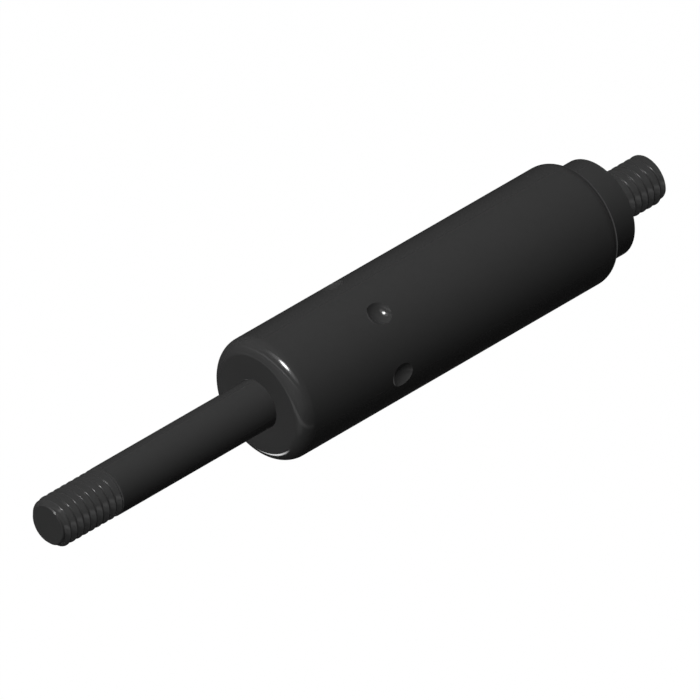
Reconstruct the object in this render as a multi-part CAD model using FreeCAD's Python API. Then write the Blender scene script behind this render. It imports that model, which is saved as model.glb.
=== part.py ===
"""A small push-type gas spring with a threaded rod and a threaded rear stud, rod fully out.

Millimetres. X runs along the axis and points out of the rod end, Z is up. The origin is on the axis at
the rear shoulder, the face of the collar that the rear stud stands on.
"""
import FreeCAD, Part
import math
import os

V = FreeCAD.Vector

# Driving sizes of the outside
tube_diameter = 15.0
tube_wall = 1.0
front_wall = 1.0                # the formed end, where the rod comes out
front_corner_radius = 2.0
front_face_edge = 0.5           # how far the flat face cuts into the rounded corner
rear_lip = 1.0                  # the end rolled in behind the plug
lip_hold = 0.5                  # how far the lip reaches in over the plug
rear_edge = 0.08
collar_length = 4.7             # outside the tube
stud_diameter = 5.97            # M6, measured over the crests
stud_length = 8.05
stud_chamfer = 0.1
rod_diameter = 6.0
rod_thread_diameter = 5.97      # M6, measured over the crests
rod_thread_length = 8.92
rod_thread_chamfer = 0.65
thread_relief_width = 0.7       # the run-out groove between the smooth rod and its thread
thread_relief_depth = 0.3

# Driving sizes of the travel
stroke = 20.0
rod_left_out = 3.73             # smooth rod that still shows when it is pushed right in
front_stop_gap = 0.1            # stop disc to retainer collar, rod fully out
rear_end_gap = 0.4              # rivet head to plug, rod fully in

# The dimples pressed into the tube, seen from outside
dimple_count = 6
dimple_mouth = 3.08
dimple_depth = 0.75
dimple_thinning = 0.2           # how much thinner the wall gets under the press tool

# The guide and seal package, from the front inwards
wiper_length = 1.8
wiper_lip = 0.35                # width of the wiping edge
wiper_reach = 1.2               # from the wiper's heel in to its edge
bush_length = 5.35
grease_chamber_width = 1.8
grease_chamber_depth = 0.9
backup_length = 0.9
seal_length = 3.1
seal_lip = 0.75                 # thickness of each sealing lip
seal_lip_length = 1.7
support_length = 0.8
retainer_land = 0.8             # metal beside the dimple groove

# The rear plug
plug_flange_length = 3.8
plug_groove_width = 1.9
plug_groove_depth = 1.35
o_ring_width = 1.6              # squeezed between groove and tube
o_ring_round = 0.4

# The piston package, from the front inwards
stop_disc_length = 0.6
stop_disc_rim = 1.3             # how far the disc stays inside the piston's edge
piston_land_length = 1.2
piston_hub_length = 1.9
orifice_disc_length = 0.6
orifice_slot_width = 0.5
orifice_slot_depth = 0.25
rear_washer_length = 0.6
rear_washer_rim = 1.5           # how far the washer stays inside the orifice disc's edge
rivet_length = 0.9
rivet_diameter = 5.4
tail_diameter = 3.6
bypass_count = 4
bypass_width = 1.6
ring_width = 1.5
ring_wall = 1.0

# Clearances, on the radius
rod_hole_play = 0.05            # rod in the tube's formed end
guide_play = 0.03               # rod in its bush
lip_play = 0.03                 # rod under the wiper and the seal
backup_play = 0.08
support_play = 0.35
retainer_play = 0.5
seat_play = 0.03                # package pieces and plug in the tube
collar_play = 0.05              # plug collar in the rolled lip
piston_play = 0.2               # piston and orifice disc in the tube
ring_play = 0.03                # piston ring in the tube
ring_hub_play = 0.27            # piston ring on the piston's hub
tail_play = 0.02                # piston package on the rod's tail
dimple_play = 0.06              # retainer groove round the dimples
o_ring_play = 0.02              # above and below the O-ring

# Radii that follow from them
tube_r = tube_diameter / 2
bore_r = tube_r - tube_wall
seat_r = bore_r - seat_play
collar_r = bore_r - lip_hold
rod_r = rod_diameter / 2
tail_r = tail_diameter / 2
tail_bore_r = tail_r + tail_play
piston_r = bore_r - piston_play
ring_r = bore_r - ring_play
hub_r = ring_r - ring_wall - ring_hub_play
inner_corner = max(front_corner_radius - tube_wall, tube_wall / 4)
face_cut = front_corner_radius - math.sqrt(front_corner_radius ** 2 - front_face_edge ** 2)

# The press tool is a ball, and the tube's inside swells over the same ball and the thinned wall
dimple_ball_r = ((dimple_mouth / 2) ** 2 + dimple_depth ** 2) / (2 * dimple_depth)
dimple_ball_at = tube_r - dimple_depth + dimple_ball_r
swell_ball_r = dimple_ball_r + tube_wall - dimple_thinning
swell_r = dimple_ball_at - swell_ball_r
swell_width = 2 * math.sqrt(swell_ball_r ** 2 - (dimple_ball_at - bore_r) ** 2)
retainer_length = swell_width + 2 * dimple_play + 2 * retainer_land

# Stations along the axis, from the rear stud to the rod's tip
tube_rear = collar_length
plug_rear = tube_rear + rear_lip
plug_front = plug_rear + plug_flange_length
rivet_rear = plug_front + rear_end_gap + stroke
washer_rear = rivet_rear + rivet_length
orifice_rear = washer_rear + rear_washer_length
hub_rear = orifice_rear + orifice_disc_length
land_rear = hub_rear + piston_hub_length
stop_disc_rear = land_rear + piston_land_length
shoulder = stop_disc_rear + stop_disc_length
retainer_rear = shoulder + front_stop_gap
support_rear = retainer_rear + retainer_length
seal_rear = support_rear + support_length
backup_rear = seal_rear + seal_length
bush_rear = backup_rear + backup_length
wiper_rear = bush_rear + bush_length
wiper_front = wiper_rear + wiper_length
tube_front = wiper_front + front_wall
thread_rear = tube_front + rod_left_out + stroke
rod_tip = thread_rear + rod_thread_length
dimple_at = retainer_rear + retainer_length / 2


def turned(*outline):
    """A solid turned about the axis from its half section, a closed list of (x, radius) corners."""
    corners = [V(x, 0, r) for x, r in outline]
    section = Part.Face(Part.makePolygon(corners + corners[:1]))
    return section.revolve(V(0, 0, 0), V(1, 0, 0), 360)


def cylinder(rear, front, radius):
    return Part.makeCylinder(radius, front - rear, V(rear, 0, 0), V(1, 0, 0))


def ring(rear, front, inner, outer):
    return turned((rear, inner), (front, inner), (front, outer), (rear, outer))


def rim(solid, x, radius):
    """The round edges of a solid at one station and radius."""
    near = 1e-4
    return [
        e for e in solid.Edges
        if isinstance(e.Curve, Part.Circle) and abs(e.Curve.Radius - radius) < near
        and abs(e.Curve.Center.x - x) < near and abs(e.Curve.Center.y) + abs(e.Curve.Center.z) < near
    ]


def around(shape, count):
    """Copies of a shape spaced evenly round the axis."""
    copies = []
    for i in range(count):
        copy = shape.copy()
        copy.rotate(V(0, 0, 0), V(1, 0, 0), i * 360.0 / count)
        copies.append(copy)
    return copies


def pressure_tube():
    """The tube with its formed front end, its rolled rear lip and the ring of dimples."""
    round_front = tube_front + face_cut
    tube = cylinder(tube_rear, round_front, tube_r)
    tube = tube.makeFillet(front_corner_radius, rim(tube, round_front, tube_r))
    tube = tube.makeChamfer(rear_edge, rim(tube, tube_rear, tube_r))
    bore = cylinder(plug_rear, wiper_front, bore_r)
    bore = bore.makeChamfer(inner_corner, rim(bore, wiper_front, bore_r))
    flat_face = cylinder(tube_front, round_front + front_wall, tube_diameter)
    rod_hole = cylinder(wiper_front - front_wall, tube_front + front_wall, rod_r + rod_hole_play)
    collar_hole = cylinder(tube_rear - rear_lip, plug_rear + rear_lip, collar_r + collar_play)
    tube = tube.cut([bore, flat_face, rod_hole, collar_hole])
    within_wall = cylinder(dimple_at - tube_diameter, dimple_at + tube_diameter, tube_r - tube_wall / 2)
    swell = Part.makeSphere(swell_ball_r, V(dimple_at, dimple_ball_at, 0)).common(within_wall)
    dimple = Part.makeSphere(dimple_ball_r, V(dimple_at, dimple_ball_at, 0))
    return tube.fuse(around(swell, dimple_count)).cut(around(dimple, dimple_count))


def end_plug():
    """The rear plug: flange with its O-ring groove, collar and threaded stud in one piece."""
    stud_r = stud_diameter / 2
    groove_rear = (plug_rear + plug_front - plug_groove_width) / 2
    groove_front = groove_rear + plug_groove_width
    groove_r = bore_r - plug_groove_depth
    return turned(
        (-stud_length, 0), (-stud_length, stud_r - stud_chamfer), (-stud_length + stud_chamfer, stud_r),
        (0, stud_r), (0, collar_r), (plug_rear, collar_r), (plug_rear, seat_r),
        (groove_rear, seat_r), (groove_rear, groove_r), (groove_front, groove_r), (groove_front, seat_r),
        (plug_front, seat_r), (plug_front, 0),
    )


def end_plug_o_ring():
    """The O-ring as squeezed, flat on the groove and on the tube and bulging between them."""
    middle = (plug_rear + plug_front) / 2
    rear, front = middle - o_ring_width / 2, middle + o_ring_width / 2
    inner = bore_r - plug_groove_depth + o_ring_play
    outer = bore_r - o_ring_play
    return turned(
        (rear, inner + o_ring_round), (rear + o_ring_round, inner), (front - o_ring_round, inner),
        (front, inner + o_ring_round), (front, outer - o_ring_round), (front - o_ring_round, outer),
        (rear + o_ring_round, outer), (rear, outer - o_ring_round),
    )


def wiper_ring():
    """The dirt wiper: a ring behind the formed end, with a lip that leans out onto the rod."""
    edge_r = rod_r + lip_play
    return turned(
        (wiper_rear, edge_r + wiper_reach), (wiper_front - wiper_lip, edge_r), (wiper_front, edge_r),
        (wiper_front, seat_r - inner_corner), (wiper_front - inner_corner, seat_r), (wiper_rear, seat_r),
    )


def guide_bush():
    """The rod's bearing, with a grease chamber turned into its bore."""
    inner = rod_r + guide_play
    chamber_rear = (bush_rear + wiper_rear - grease_chamber_width) / 2
    chamber_front = chamber_rear + grease_chamber_width
    chamber_r = inner + grease_chamber_depth
    return turned(
        (bush_rear, inner), (chamber_rear, inner), (chamber_rear, chamber_r), (chamber_front, chamber_r),
        (chamber_front, inner), (wiper_rear, inner), (wiper_rear, seat_r), (bush_rear, seat_r),
    )


def backup_ring():
    """The stiff ring between the seal and the bush."""
    return ring(backup_rear, bush_rear, rod_r + backup_play, seat_r)


def rod_seal():
    """The lip seal: a solid heel in front, and two lips behind it that the gas spreads."""
    edge_r = rod_r + lip_play
    heel_rear = seal_rear + seal_lip_length
    return turned(
        (backup_rear, edge_r), (seal_rear, edge_r), (seal_rear, edge_r + seal_lip),
        (heel_rear, edge_r + seal_lip), (heel_rear, seat_r - seal_lip), (seal_rear, seat_r - seal_lip),
        (seal_rear, seat_r), (backup_rear, seat_r),
    )


def support_washer():
    """The washer behind the seal, wide enough in the bore for the gas to reach the seal's lips."""
    return ring(support_rear, seal_rear, rod_r + support_play, seat_r)


def retainer_collar():
    """The collar that the dimples are pressed into. It holds the package and stops the piston."""
    inner = rod_r + retainer_play
    groove_r = swell_r - dimple_play
    groove_rear = retainer_rear + retainer_land
    groove_front = support_rear - retainer_land
    return turned(
        (retainer_rear, inner), (support_rear, inner), (support_rear, seat_r), (groove_front, seat_r),
        (groove_front, groove_r), (groove_rear, groove_r), (groove_rear, seat_r), (retainer_rear, seat_r),
    )


def piston_rod():
    """The rod: thread, smooth shank, and the tail whose end is riveted over behind the piston."""
    thread_r = rod_thread_diameter / 2
    relief_r = thread_r - thread_relief_depth
    relief_front = thread_rear + thread_relief_width
    rivet_r = rivet_diameter / 2
    return turned(
        (rivet_rear, 0), (rivet_rear, (tail_r + rivet_r) / 2), (washer_rear, rivet_r),
        (washer_rear, tail_r), (shoulder, tail_r), (shoulder, rod_r),
        (thread_rear, rod_r), (thread_rear + thread_relief_depth, relief_r),
        (relief_front - thread_relief_depth, relief_r), (relief_front, thread_r),
        (rod_tip - rod_thread_chamfer, thread_r), (rod_tip, thread_r - rod_thread_chamfer), (rod_tip, 0),
    )


def stop_disc():
    """The disc on the rod's shoulder, which meets the retainer collar when the rod is fully out."""
    return ring(stop_disc_rear, shoulder, tail_bore_r, piston_r - stop_disc_rim)


def piston():
    """The piston: a hub for the floating ring, and a land notched down to it as the bypass."""
    body = turned(
        (hub_rear, tail_bore_r), (stop_disc_rear, tail_bore_r), (stop_disc_rear, piston_r),
        (land_rear, piston_r), (land_rear, hub_r), (hub_rear, hub_r),
    )
    notch = Part.makeBox(piston_land_length, bypass_width, piston_r - hub_r + piston_play,
                         V(land_rear, -bypass_width / 2, hub_r))
    return body.cut(around(notch, bypass_count))


def piston_ring():
    """The ring that floats between the piston's land and the orifice disc, and slides in the tube."""
    middle = (hub_rear + land_rear) / 2
    return ring(middle - ring_width / 2, middle + ring_width / 2, ring_r - ring_wall, ring_r)


def orifice_disc():
    """The disc that the ring seats on as the rod comes out, with one fine slot left under the ring."""
    disc = ring(orifice_rear, hub_rear, tail_bore_r, piston_r)
    slot = Part.makeBox(orifice_slot_depth, orifice_slot_width, ring_wall + ring_hub_play + piston_play,
                        V(hub_rear - orifice_slot_depth, -orifice_slot_width / 2, hub_r))
    return disc.cut(slot)


def rear_washer():
    """The washer under the rivet head."""
    return ring(washer_rear, orifice_rear, tail_bore_r, piston_r - rear_washer_rim)


pieces = [
    pressure_tube, end_plug, end_plug_o_ring, wiper_ring, guide_bush, backup_ring, rod_seal,
    support_washer, retainer_collar, piston_rod, stop_disc, piston, piston_ring, orifice_disc, rear_washer,
]

os.makedirs("parts", exist_ok=True)
for piece in pieces:
    solid = piece()
    solid.exportStep(f"parts/{piece.__name__}.step")
    print(f"{piece.__name__}: {len(solid.Solids)} solid, {solid.Volume:.2f} mm3, valid {solid.isValid()}")
print(f"tube {tube_rear:.3f} to {tube_front:.3f}, dimples at {dimple_at:.3f}, thread from {thread_rear:.3f}, "
      f"tip at {rod_tip:.3f}")
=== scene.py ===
"""A small black gas spring on a white table, its rod fully out and pointing to the lower left."""

import bisect
import math

import bmesh
import bpy
from mathutils import Matrix, Vector


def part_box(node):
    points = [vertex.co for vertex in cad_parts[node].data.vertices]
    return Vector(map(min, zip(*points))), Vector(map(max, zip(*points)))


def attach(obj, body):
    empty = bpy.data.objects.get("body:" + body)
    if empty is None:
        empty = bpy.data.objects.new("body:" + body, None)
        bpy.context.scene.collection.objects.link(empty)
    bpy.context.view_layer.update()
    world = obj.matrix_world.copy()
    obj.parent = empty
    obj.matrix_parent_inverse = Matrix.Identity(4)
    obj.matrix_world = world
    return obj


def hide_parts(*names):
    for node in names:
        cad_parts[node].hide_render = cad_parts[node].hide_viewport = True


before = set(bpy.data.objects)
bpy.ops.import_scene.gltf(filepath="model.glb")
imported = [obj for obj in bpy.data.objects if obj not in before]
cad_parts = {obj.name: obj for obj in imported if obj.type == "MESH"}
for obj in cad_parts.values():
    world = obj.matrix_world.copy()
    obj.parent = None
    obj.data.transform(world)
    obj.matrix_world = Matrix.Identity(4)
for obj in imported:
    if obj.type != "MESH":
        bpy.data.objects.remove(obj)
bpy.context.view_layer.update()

mm = 0.001


# Sizes in millimetres, taken from the frame where it has them

def reach(node):
    """Rear end, front end and radius of a turned node, in millimetres."""
    low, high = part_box(node)
    return low.x / mm, high.x / mm, max(high.y, high.z, -low.y, -low.z) / mm


lip_rear, tube_front, tube_r = reach("pressure_tube")
stud_tip, plug_front, plug_r = reach("end_plug")
rivet_rear, rod_tip, rod_r = reach("piston_rod")
washer_rear = reach("rear_washer")[0]
shoulder = reach("stop_disc")[1]

tube_wall = 1.0
bore_r = tube_r - tube_wall
hole_play = 0.05                # the rod and the plug's collar in their holes, on the radius
front_corner_radius = 2.0
front_face_edge = 0.5           # how far the flat face cuts into the rounded corner
face_edge_width = 0.06          # the line where the front face and its corner meet
rolled_rear = 3.14              # the rolled end reaches this far back over the plug's collar
rolled_radius = 2.0
lip = 1.0
break_edge = 0.06               # how much a turned edge is rounded off
rod_hole_r = rod_r + hole_play
rod_hole_edge = 0.02
collar_r = 6.0
collar_hole_r = collar_r + hole_play
plug_groove_width = 1.9
plug_groove_r = bore_r - 1.35
tail_r = 1.8
rivet_r = 2.7
rivet_end_r = 2.25
rivet_round = 0.3

# Balls press the dimples in, and the bore swells over the same balls and the thinned wall
dimple_count = 6
dimple_mouth = 3.08
dimple_depth = 0.75
dimple_thinning = 0.2
dimple_at = sum(reach("retainer_collar")[:2]) / 2
dimple_ball_r = ((dimple_mouth / 2) ** 2 + dimple_depth ** 2) / (2 * dimple_depth)
dimple_ball_at = tube_r - dimple_depth + dimple_ball_r
swell_ball_r = dimple_ball_r + tube_wall - dimple_thinning

# An M6 thread
pitch = 1.0
thread_r = 2.985
thread_depth = 0.6134 * pitch
flank_slope = math.tan(math.radians(60))
crest_flat = pitch / 8
root_flat = pitch - crest_flat - 2 * thread_depth / flank_slope
crest_round = 0.02
root_round = 0.12
rod_chamfer = 0.65
stud_chamfer = 0.1
rod_thread_length = 8.92
rod_thread_phase = 0.675        # share of the pitch by which a crest stands off the frame's XY plane
stud_thread_phase = 0.845

# How fine the meshes are
tube_columns = 288              # round the axis
thread_columns = 96
corner_steps = 20
swell_steps = 48
thread_step = 0.07
edge_step = math.radians(16)
sharp_edge = math.radians(40)   # a steeper edge between two faces is shaded sharp
dimple_edge = math.radians(24)
merge_distance = 2e-4
face_shares = (0.97, 0.6, 0.25, 0)


# Meshes

def rounded(corners, closed=False):
    """The points of an outline of (x, r, radius) corners, each rounded to its radius."""
    points = []
    count = len(corners)
    for i, (x, r, radius) in enumerate(corners):
        here = Vector((x, r))
        if radius == 0 or not closed and i in (0, count - 1):
            points.append(here)
            continue
        back = (Vector(corners[i - 1][:2]) - here).normalized()
        on = (Vector(corners[(i + 1) % count][:2]) - here).normalized()
        turn = math.pi - back.angle(on)
        cut = radius * math.tan(turn / 2)
        centre = here + (back + on).normalized() * radius / math.cos(turn / 2)
        start, end = here + back * cut - centre, here + on * cut - centre
        steps = max(2, math.ceil(turn / edge_step))
        for k in range(steps + 1):
            share = k / steps
            spoke = start * math.sin((1 - share) * turn) + end * math.sin(share * turn)
            points.append(centre + spoke / math.sin(turn))
    return points


def arc(x, r, radius, start, end):
    """Corners along an arc about a centre, from one angle off the axis to another."""
    angles = [start + (end - start) * k / corner_steps for k in range(corner_steps + 1)]
    return [(x + radius * math.cos(angle), r + radius * math.sin(angle), 0) for angle in angles]


def filled_in(points, step):
    """The same outline with more points wherever two lie further apart than a step."""
    more = [points[0]]
    for a, b in zip(points, points[1:]):
        parts = max(1, math.ceil((b - a).length / step))
        more += [a.lerp(b, k / parts) for k in range(1, parts + 1)]
    return more


def plain_rows(points, columns):
    """Rows for a turned outline, alike in every column."""
    return [[(p.x, p.y)] * (columns + 1) for p in points]


def end_face(rim, x):
    """Rows from a rim straight in to the axis."""
    return [[(x, r * share) for _, r in rim] for share in face_shares]


def even_normals(piece):
    """Shades each flat face flat and leaves the roundness to the narrow faces of its edges."""
    even = piece.modifiers.new("even normals", "WEIGHTED_NORMAL")
    even.keep_sharp = True


def skin(name, rows, body, node, material):
    """A mesh through rows of (x, r) points, one point per column round the axis. It stands for a node,
    and the other pieces don't mirror it."""
    columns = len(rows[0]) - 1
    shape = bmesh.new()
    grid = []
    for row in rows:
        line = []
        for j, (x, r) in enumerate(row):
            angle = 2 * math.pi * j / columns
            line.append(shape.verts.new((x * mm, r * math.cos(angle) * mm, r * math.sin(angle) * mm)))
        grid.append(line)
    for near, far in zip(grid, grid[1:]):
        for j in range(columns):
            shape.faces.new((near[j], near[j + 1], far[j + 1], far[j]))
    bmesh.ops.remove_doubles(shape, verts=shape.verts, dist=merge_distance * mm)
    bmesh.ops.dissolve_degenerate(shape, edges=shape.edges, dist=merge_distance * mm)
    bmesh.ops.recalc_face_normals(shape, faces=shape.faces)
    mesh = bpy.data.meshes.new(name)
    shape.to_mesh(mesh)
    shape.free()
    mesh.shade_smooth()
    mesh.set_sharp_from_angle(angle=sharp_edge)
    piece = bpy.data.objects.new(name, mesh)
    bpy.context.scene.collection.objects.link(piece)
    piece.data.materials.append(material)
    even_normals(piece)
    piece.visible_glossy = False
    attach(piece, body)
    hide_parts(node)
    return piece


def groove():
    """One pitch of thread, from crest to crest: (share of the pitch, depth) points."""
    root, crest = root_flat / 2, (pitch - crest_flat) / 2
    outline = rounded([
        (-pitch / 2, 0, 0), (-crest, 0, crest_round), (-root, thread_depth, root_round),
        (root, thread_depth, root_round), (crest, 0, crest_round), (pitch / 2, 0, 0),
    ])
    return [(p.x / pitch + 0.5, p.y) for p in filled_in(outline, thread_step)]


def thread_rows(start, end, tip, chamfer, phase, columns):
    """Rows that follow a right-handed helix between two stations. The grooves run out as steeply as their
    flanks at the end away from the tip, and the tip is chamfered."""
    profile = groove()
    shares = [share for share, depth in profile]
    root = start if tip == end else end

    def radius(x, turn):
        share = (x / pitch - turn - phase) % 1
        i = min(max(bisect.bisect(shares, share), 1), len(shares) - 1)
        (share_before, depth_before), (share_after, depth_after) = profile[i - 1], profile[i]
        between = (share - share_before) / (share_after - share_before)
        depth = depth_before + (depth_after - depth_before) * between
        depth = min(depth, flank_slope * abs(x - root))
        return min(thread_r - depth, thread_r - chamfer + abs(tip - x))

    rows = []
    first = math.floor(start / pitch) - 2
    last = math.ceil(end / pitch) + 1
    for whole in range(first, last + 1):
        for share in shares[:-1]:
            row = []
            for j in range(columns + 1):
                turn = j / columns
                x = min(max((whole + share + turn + phase) * pitch, start), end)
                row.append((x, radius(x, turn)))
            rows.append(row)
    return rows


def tube_outline():
    """The tube's half section, closed, with more points where the wall has its dimples."""
    face_angle = math.asin(front_face_edge / front_corner_radius)
    front_corner = arc(tube_front - front_corner_radius * math.cos(face_angle),
                       tube_r - front_corner_radius, front_corner_radius, math.pi / 2, face_angle)
    rear_centre_r = tube_r - rolled_radius
    hole_angle = math.asin((collar_hole_r - rear_centre_r) / rolled_radius)
    rear_corner = arc(rolled_rear + rolled_radius, rear_centre_r, rolled_radius, math.pi - hole_angle,
                      math.pi / 2)
    outline = rounded([
        *rear_corner, *front_corner,
        (tube_front, tube_r - front_corner_radius + front_face_edge - face_edge_width, 0),
        (tube_front, rod_hole_r, rod_hole_edge), (tube_front - lip, rod_hole_r, break_edge),
        (tube_front - lip, bore_r, front_corner_radius - tube_wall), (lip_rear + lip, bore_r, break_edge),
        (lip_rear + lip, collar_hole_r, break_edge),
    ], closed=True)
    outline.append(outline[0])
    marks = [dimple_at + swell_ball_r * (2 * k / swell_steps - 1) for k in range(swell_steps + 1)]
    points = []
    for a, b in zip(outline, outline[1:]):
        points.append(a)
        level = abs(a.y - b.y) < 1e-6
        if level and min(a.x, b.x) < marks[0] and marks[-1] < max(a.x, b.x):
            points += [Vector((x, a.y)) for x in (marks if b.x > a.x else reversed(marks))]
    return points + [outline[-1]]


def swollen(x, r, angle):
    """The radius of the bore where a ball pressed in from outside has moved the wall."""
    if abs(x - dimple_at) > swell_ball_r or abs(r - bore_r) > break_edge:
        return r
    sector = 2 * math.pi / dimple_count
    off = (angle + sector / 2) % sector - sector / 2
    under = swell_ball_r ** 2 - (x - dimple_at) ** 2 - (dimple_ball_at * math.sin(off)) ** 2
    return min(r, dimple_ball_at * math.cos(off) - math.sqrt(under)) if under > 0 else r


def press_dimples(tube):
    """Presses a ring of balls into the outside of the tube."""
    shape = bmesh.new()
    for k in range(dimple_count):
        angle = 2 * math.pi * k / dimple_count
        out = Vector((0, math.cos(angle), math.sin(angle)))
        turn = Vector((0, 0, -1)).rotation_difference(out).to_matrix().to_4x4()
        place = Matrix.Translation((out * dimple_ball_at + Vector((dimple_at, 0, 0))) * mm)
        bmesh.ops.create_uvsphere(shape, u_segments=96, v_segments=64, radius=dimple_ball_r * mm,
                                  matrix=place @ turn)
    mesh = bpy.data.meshes.new("pressing balls")
    shape.to_mesh(mesh)
    shape.free()
    mesh.shade_smooth()
    balls = bpy.data.objects.new("pressing balls", mesh)
    bpy.context.scene.collection.objects.link(balls)
    tube.modifiers.clear()
    cut = tube.modifiers.new("dimples", "BOOLEAN")
    cut.object, cut.operation, cut.solver = balls, "DIFFERENCE", "EXACT"
    pressed = bpy.data.meshes.new_from_object(tube.evaluated_get(bpy.context.evaluated_depsgraph_get()))
    tube.modifiers.clear()
    tube.data = pressed
    pressed.shade_smooth()
    pressed.set_sharp_from_angle(angle=dimple_edge)
    even_normals(tube)
    bpy.data.objects.remove(balls)


def build_tube(material):
    """Outside and inside of the tube, with the dimples pressed in and swelling inside."""
    angles = [2 * math.pi * j / tube_columns for j in range(tube_columns + 1)]
    rows = [[(p.x, swollen(p.x, p.y, angle)) for angle in angles] for p in tube_outline()]
    tube = skin("dimpled_tube", rows, "cylinder", "pressure_tube", material)
    press_dimples(tube)
    return tube


def build_plug(material):
    """The rear stud with its thread, the collar and the grooved flange inside the tube."""
    stud = thread_rows(stud_tip, 0, stud_tip, stud_chamfer, stud_thread_phase, thread_columns)
    nose = end_face(stud[0], stud_tip)[::-1]
    flange_middle = (lip_rear + lip + plug_front) / 2
    groove_rear, groove_front = flange_middle - plug_groove_width / 2, flange_middle + plug_groove_width / 2
    rest = rounded([
        (0, thread_r, 0), (0, collar_r, break_edge), (lip_rear + lip, collar_r, break_edge),
        (lip_rear + lip, plug_r, break_edge), (groove_rear, plug_r, break_edge),
        (groove_rear, plug_groove_r, break_edge), (groove_front, plug_groove_r, break_edge),
        (groove_front, plug_r, break_edge), (plug_front, plug_r, break_edge), (plug_front, 0, 0),
    ])
    rows = nose + stud + plain_rows(rest, thread_columns)
    return skin("rear_plug", rows, "cylinder", "end_plug", material)


def build_rod(material):
    """The rod from its riveted tail to its threaded end."""
    thread_rear = rod_tip - rod_thread_length
    shank = rounded([
        (rivet_rear, 0, 0), (rivet_rear, rivet_end_r, rivet_round), (washer_rear, rivet_r, break_edge),
        (washer_rear, tail_r, 0), (shoulder, tail_r, 0), (shoulder, rod_r, break_edge),
        (thread_rear, rod_r, 0), (thread_rear, thread_r, 0),
    ])
    thread = thread_rows(thread_rear, rod_tip, rod_tip, rod_chamfer, rod_thread_phase, thread_columns)
    rows = plain_rows(shank, thread_columns) + thread + end_face(thread[-1], rod_tip)
    return skin("threaded_rod", rows, "rod_and_piston", "piston_rod", material)


# Materials

class Value:
    """A shader socket that takes part in sums. Each operator adds its node."""

    def __init__(self, tree, socket):
        self.tree = tree
        self.socket = socket

    def maths(self, operation, *others):
        return self.tree.node("ShaderNodeMath", {"operation": operation}, dict(enumerate((self, *others))))

    def __add__(self, other):
        return self.maths("ADD", other)

    def __mul__(self, other):
        return self.maths("MULTIPLY", other)

    def __sub__(self, other):
        return self.maths("SUBTRACT", other)

    def __rsub__(self, other):
        return self.tree.node("ShaderNodeMath", {"operation": "SUBTRACT"}, {0: other, 1: self})

    __radd__ = __add__
    __rmul__ = __mul__


class Tree:
    """The node tree of one material or of the world."""

    def __init__(self, owner):
        owner.use_nodes = True
        self.nodes = owner.node_tree.nodes
        self.links = owner.node_tree.links
        self.nodes.clear()

    def node(self, kind, settings=None, inputs=None, output=0):
        """Adds a node with its settings, then the values or links of its sockets. Gives one output."""
        made = self.nodes.new(kind)
        for name, setting in (settings or {}).items():
            setattr(made, name, setting)
        for name, given in (inputs or {}).items():
            if isinstance(given, Value):
                self.links.new(given.socket, made.inputs[name])
            else:
                made.inputs[name].default_value = given
        return Value(self, made.outputs[output]) if made.outputs else None

    def noise(self, where, scale, detail=3.0, roughness=0.5):
        return self.node("ShaderNodeTexNoise", {"noise_dimensions": "3D"},
                         {"Vector": where, "Scale": scale, "Detail": detail, "Roughness": roughness})

    def vector(self, operation, *inputs):
        """Vector Math: a dot product gives a number, and what else is used here gives a vector."""
        return self.node("ShaderNodeVectorMath", {"operation": operation}, dict(enumerate(inputs)),
                         output="Value" if operation == "DOT_PRODUCT" else "Vector")

    def mixed(self, share, a, b):
        """A mix of two colours, whose sockets share their names with others and so go by number."""
        return self.node("ShaderNodeMix", {"data_type": "RGBA"}, {0: share, 6: a, 7: b}, output=2)

    def bump(self, height, depth):
        return self.node("ShaderNodeBump", None, {"Strength": 1.0, "Distance": depth * mm, "Height": height})

    def ray(self, kind):
        """1 where light is followed back along this kind of ray, else 0."""
        return self.node("ShaderNodeLightPath", output=f"Is {kind} Ray")


def grey(level, warmth=0.0):
    return (level * (1 + warmth), level, level * (1 - warmth), 1.0)


def finish(name, colour, worn, roughness, specular=0.5, metallic=0.0, spread=0.12, grain=(900, 900),
           grain_depth=0.004):
    """A surface whose tone and gloss drift a little. Its grain has one scale along the axis and one
    across it, and so lies round the axis where the first is larger."""
    material = bpy.data.materials.new(name)
    tree = Tree(material)
    where = tree.node("ShaderNodeTexCoord", output="Object")
    drift = tree.noise(where, 260.0)
    along, across = grain
    stretched = tree.vector("MULTIPLY", where, (along, across, across))
    fine = tree.noise(stretched, 1.0, detail=4.0, roughness=0.6)
    tone = tree.mixed(drift * 0.6 + fine * 0.4, colour, worn)
    gloss = (drift - 0.5) * spread + (fine - 0.5) * spread + roughness
    shader = tree.node("ShaderNodeBsdfPrincipled", None, {
        "Base Color": tone, "Roughness": gloss, "Metallic": metallic,
        "Specular IOR Level": specular, "Normal": tree.bump(fine, grain_depth),
    })
    tree.node("ShaderNodeOutputMaterial", None, {"Surface": shader})
    return material


black, worn_black, black_gloss, black_spread = grey(0.031), grey(0.034), 0.11, 0.03
black_paint = finish("semi-gloss black coating", black, worn_black, black_gloss, spread=black_spread,
                     grain_depth=0.0006)
black_steel = finish("blackened turned steel", black, worn_black, black_gloss, spread=black_spread,
                     grain=(9000, 300), grain_depth=0.0006)
black_rod = finish("nitrided rod", black, worn_black, black_gloss, spread=black_spread,
                   grain=(7000, 250), grain_depth=0.0003)
bright_steel = finish("bright turned steel", grey(0.5), grey(0.58), 0.3, metallic=1.0,
                      grain=(8000, 300), grain_depth=0.003)
alloy = finish("turned aluminium", grey(0.6), grey(0.66), 0.34, metallic=1.0,
               grain=(8000, 300), grain_depth=0.003)
bronze = finish("oiled sintered bronze", (0.42, 0.26, 0.13, 1), (0.55, 0.36, 0.19, 1), 0.45,
                metallic=1.0, grain=(2600, 2600), grain_depth=0.01)
rubber = finish("nitrile rubber", grey(0.018), grey(0.026), 0.6, specular=0.4, grain=(2000, 2000))
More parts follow.
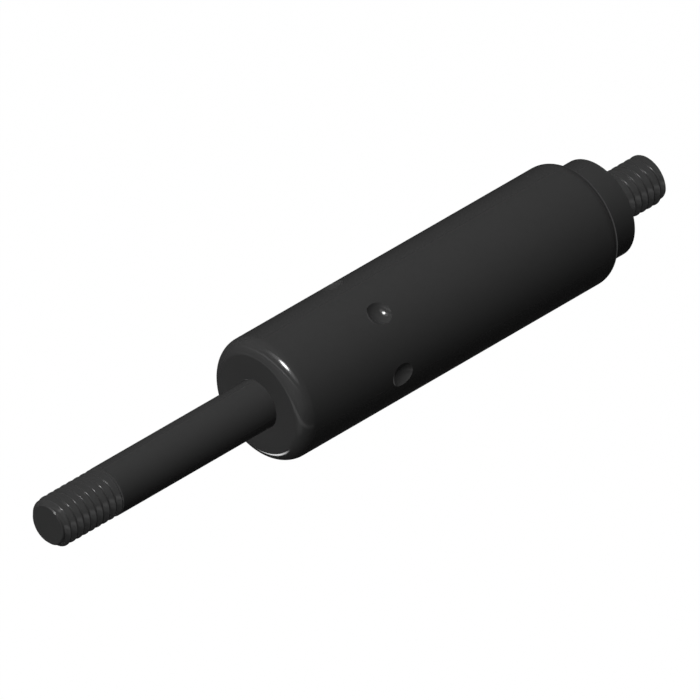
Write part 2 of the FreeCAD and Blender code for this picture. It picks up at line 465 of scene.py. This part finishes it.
ptfe = finish("filled slippery plastic", grey(0.6, 0.02), grey(0.68, 0.02), 0.5, specular=0.4,
              grain=(1500, 1500))

inner_finish = {
    "end_plug_o_ring": rubber, "wiper_ring": rubber, "rod_seal": rubber, "guide_bush": bronze,
    "backup_ring": ptfe, "piston_ring": ptfe, "support_washer": bright_steel,
    "retainer_collar": bright_steel, "stop_disc": bright_steel, "orifice_disc": bright_steel,
    "rear_washer": bright_steel, "piston": alloy,
}
for node, material in inner_finish.items():
    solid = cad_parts[node]
    solid.visible_glossy = False
    for slot in solid.material_slots:
        slot.material = material

build_tube(black_paint)
build_plug(black_steel)
build_rod(black_rod)


# Floor, light and camera

spring_middle = Vector((38.97 * mm, 0, 0))
camera_aim = Vector((39.13, -0.03, 0.03)) * mm
frame_width = 77.95 * mm
camera_lens = 1650
camera_sensor = 36
floor_half = 1.5
floor_white = 0.985             # the rest of the floor's white is the light that falls on it
even_light = 0.04
even_glow = 0.014

# What a gloss mirrors. Each card: its centre, the directions of its width and length, half of each, its
# level and how fast it fades at its edges.
studio_cards = {
    "front panel": ((0.95, 0.33, 0.1), (0, 0, 1), (0, 1, 0), (0.48, 0.78), 0.17, 1.1),
    "panel's brighter top": ((0.86, 0.3, 0.45), (0, 0, 1), (0, 1, 0), (0.2, 0.75), 0.08, 1),
    "panel's upper frame": ((0.8, 0, 0.59), (-0.59, -0.05, 0.81), (0, 1, 0), (0.05, 0.95), 1.5, 1),
    "panel's lower frame": ((0.93, 0.03, -0.36), (0, 0.26, 1), (0, 1, -0.26), (0.1, 0.95), 0.75, 1),
    "patch below the panel": ((0.79, 0.2, -0.59), (0, 0, 1), (0, 1, 0), (0.14, 0.3), 0.25, 1),
    "glow round the key": ((0.32, 0.22, 0.92), (1, 0, -0.35), (0, 0.96, -0.27), (0.26, 0.66), 1.8, 1),
    "heart of the key": ((0.32, 0.2, 0.93), (1, 0, -0.35), (0, 0.96, -0.27), (0.14, 0.22), 42.0, 1),
    "bottom arc": ((0.28, -0.4, -0.87), (0.69, -0.72, 0), (0.72, 0.69, 0), (0.08, 0.26), 8.0, 1),
    "behind": ((-0.87, -0.28, -0.4), (0, 0, 1), (0, 1, 0), (0.33, 0.4), 0.14, 1),
}


def background(tree, plain, white_share):
    """White as the camera sees it or glass shows it, and the plain shader for the rest."""
    seen = tree.ray("Camera").maths("MAXIMUM", tree.ray("Transmission"))
    white = tree.node("ShaderNodeEmission", None, {"Color": grey(1.0), "Strength": 1.0})
    return tree.node("ShaderNodeMixShader", None, {0: seen * white_share, 1: plain, 2: white})


def build_floor():
    """A white table, which throws little light back. A gloss looks past it, to the cards of the studio."""
    mesh = bpy.data.meshes.new("floor")
    ways = ((-1, -1), (1, -1), (1, 1), (-1, 1))
    corners = [(x * floor_half, y * floor_half, -tube_r * mm) for x, y in ways]
    mesh.from_pydata(corners, [], [(0, 1, 2, 3)])
    floor = bpy.data.objects.new("floor", mesh)
    floor.visible_glossy = False
    bpy.context.scene.collection.objects.link(floor)
    material = bpy.data.materials.new("white table")
    tree = Tree(material)
    colour = tree.mixed(tree.ray("Camera"), grey(0.06), grey(0.8))
    plain = tree.node("ShaderNodeBsdfDiffuse", None, {"Color": colour})
    tree.node("ShaderNodeOutputMaterial", None, {"Surface": background(tree, plain, floor_white)})
    mesh.materials.append(material)


def card(tree, facing, centre, side, along, half_size, level, softness):
    """How bright a far card with soft edges looks in a gloss, by the direction that the gloss faces."""
    centre, side, along = (Vector(v).normalized() for v in (centre, side, along))
    off = tree.vector("SUBTRACT", facing, centre)
    across = tree.vector("DOT_PRODUCT", off, side / half_size[0])
    down = tree.vector("DOT_PRODUCT", off, along / half_size[1])
    ahead = tree.vector("DOT_PRODUCT", facing, centre).maths("GREATER_THAN", 0.0)
    inside = (1 - (across * across + down * down)) * softness
    return inside.maths("MAXIMUM", 0.0).maths("MINIMUM", 1.0) * ahead * level


def build_world():
    """White behind the table, a dim even light on the pieces, and the cards for their gloss alone."""
    world = bpy.data.worlds.new("studio")
    bpy.context.scene.world = world
    tree = Tree(world)
    facing = tree.node("ShaderNodeTexCoord", output="Generated")
    glow = sum((card(tree, facing, *described) for described in studio_cards.values()), even_glow)
    dim = tree.node("ShaderNodeBackground", None, {"Color": grey(1.0), "Strength": even_light})
    cards = tree.node("ShaderNodeBackground", None, {"Color": grey(1.0), "Strength": glow})
    plain = tree.node("ShaderNodeMixShader", None, {0: tree.ray("Glossy"), 1: dim, 2: cards})
    tree.node("ShaderNodeOutputWorld", None, {"Surface": background(tree, plain, 1.0)})


def build_lamp(name, towards, along, distance, size, level):
    """A soft oval lamp that casts no shadow, its length along a direction. At level 1 a white card facing
    it renders white. No gloss shows it, since the cards are there for that."""
    data = bpy.data.lights.new(name, "AREA")
    data.shape = "ELLIPSE"
    data.size, data.size_y = size
    data.energy = level * (math.pi * distance) ** 2
    # Rays that find a lamp by chance would still be stopped by the pieces, so none look for it
    data.use_shadow = False
    data.cycles.use_multiple_importance_sampling = False
    lamp = bpy.data.objects.new(name, data)
    lamp.visible_glossy = False
    towards = Vector(towards).normalized()
    along = Vector(along)
    along = (along - towards * along.dot(towards)).normalized()
    lamp.location = towards * distance + spring_middle
    lamp.rotation_mode = "QUATERNION"
    lamp.rotation_quaternion = Matrix((along, towards.cross(along), towards)).transposed().to_quaternion()
    bpy.context.scene.collection.objects.link(lamp)


def build_camera():
    """A long lens looking down the three axes alike, so that the view is close to parallel."""
    data = bpy.data.cameras.new("camera")
    data.lens = camera_lens
    data.sensor_width = camera_sensor
    distance = frame_width * data.lens / data.sensor_width
    data.clip_start, data.clip_end = 0.1, 20
    camera = bpy.data.objects.new("camera", data)
    back = Vector((1, 1, 1)).normalized()
    camera.location = back * distance + camera_aim
    camera.rotation_mode = "QUATERNION"
    camera.rotation_quaternion = back.to_track_quat("Z", "Y")
    bpy.context.scene.collection.objects.link(camera)
    bpy.context.scene.camera = camera


build_floor()
build_world()
build_lamp("key", (0.34, 0.27, 0.9), (0.1, 0.97, -0.24), 0.6, (0.45, 0.13), 0.6)
build_lamp("soft top", (0.1, -0.16, 0.97), (0, 1, 0), 1.5, (1.8, 2.6), 0.82)
build_lamp("front panel", (0.8, 0.0, 0.58), (0, 1, 0), 1.2, (2.4, 1.1), 0.2)
build_lamp("front fill", (1.0, -0.35, 0.22), (0, 1, 0), 1.2, (1.2, 0.9), 0.52)
build_camera()
bpy.context.scene.view_settings.view_transform = "Standard"
